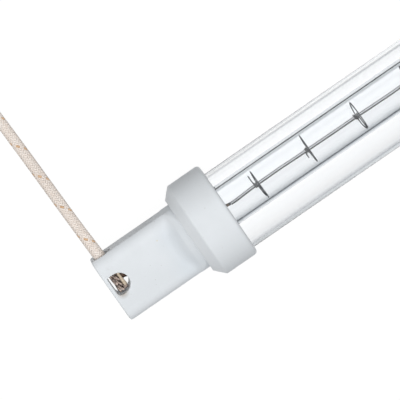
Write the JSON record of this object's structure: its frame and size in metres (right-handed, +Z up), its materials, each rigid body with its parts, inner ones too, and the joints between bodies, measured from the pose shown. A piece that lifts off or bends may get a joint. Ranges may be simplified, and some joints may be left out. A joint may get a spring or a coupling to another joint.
{
  "type": "quartz heating tube",
  "caption": "Infrared heating tube: a coiled filament in a clear quartz tube inside a wider clear tube, with ceramic end caps and a braided lead that leaves the side of one cap.",
  "frame": {"origin": "on the surface that the two collars rest on, midway between the caps' outer ends and under the collars' axis", "axes": "+X along the lamp from the cap with the lead to the other cap, +Y to the side of the cap that the lead leaves, +Z up"},
  "size_m": [0.3299, 0.1215, 0.0332],
  "materials": {
    "ceramic": "matt moulded",
    "quartz": "clear",
    "cement": "rough",
    "tungsten": "drawn wire",
    "inner_pin": "dark heat-stained rod",
    "foil": "thin foil",
    "outer_pin": "drawn rod",
    "splice": "crimped and stained",
    "glass_braid": "braided glass fibre",
    "glass_tape": "woven tape",
    "terminal": "tinned copper"
  },
  "bodies": {
    "root": {"ceramic_cap_near": "ceramic", "ceramic_cap_far": "ceramic", "quartz_jacket": "quartz", "quartz_envelope": "quartz", "cement_plug_near": "cement", "cement_plug_far": "cement", "filament": "tungsten", "filament_support_01": "tungsten", "filament_support_02": "tungsten", "filament_support_03": "tungsten", "filament_support_04": "tungsten", "filament_support_05": "tungsten", "filament_support_06": "tungsten", "filament_support_07": "tungsten", "filament_support_08": "tungsten", "filament_support_09": "tungsten", "filament_support_10": "tungsten", "lead_in_near": "inner_pin", "lead_in_far": "inner_pin", "molybdenum_foil_near": "foil", "molybdenum_foil_far": "foil", "lead_out_near": "outer_pin", "lead_out_far": "outer_pin", "crimp_sleeve_near": "splice", "crimp_sleeve_far": "splice", "lead": "glass_braid", "lead_coil": "glass_braid", "lead_tail": "glass_braid", "coil_tie": "glass_tape", "ring_terminal": "terminal"}
  },
  "joints": []
}
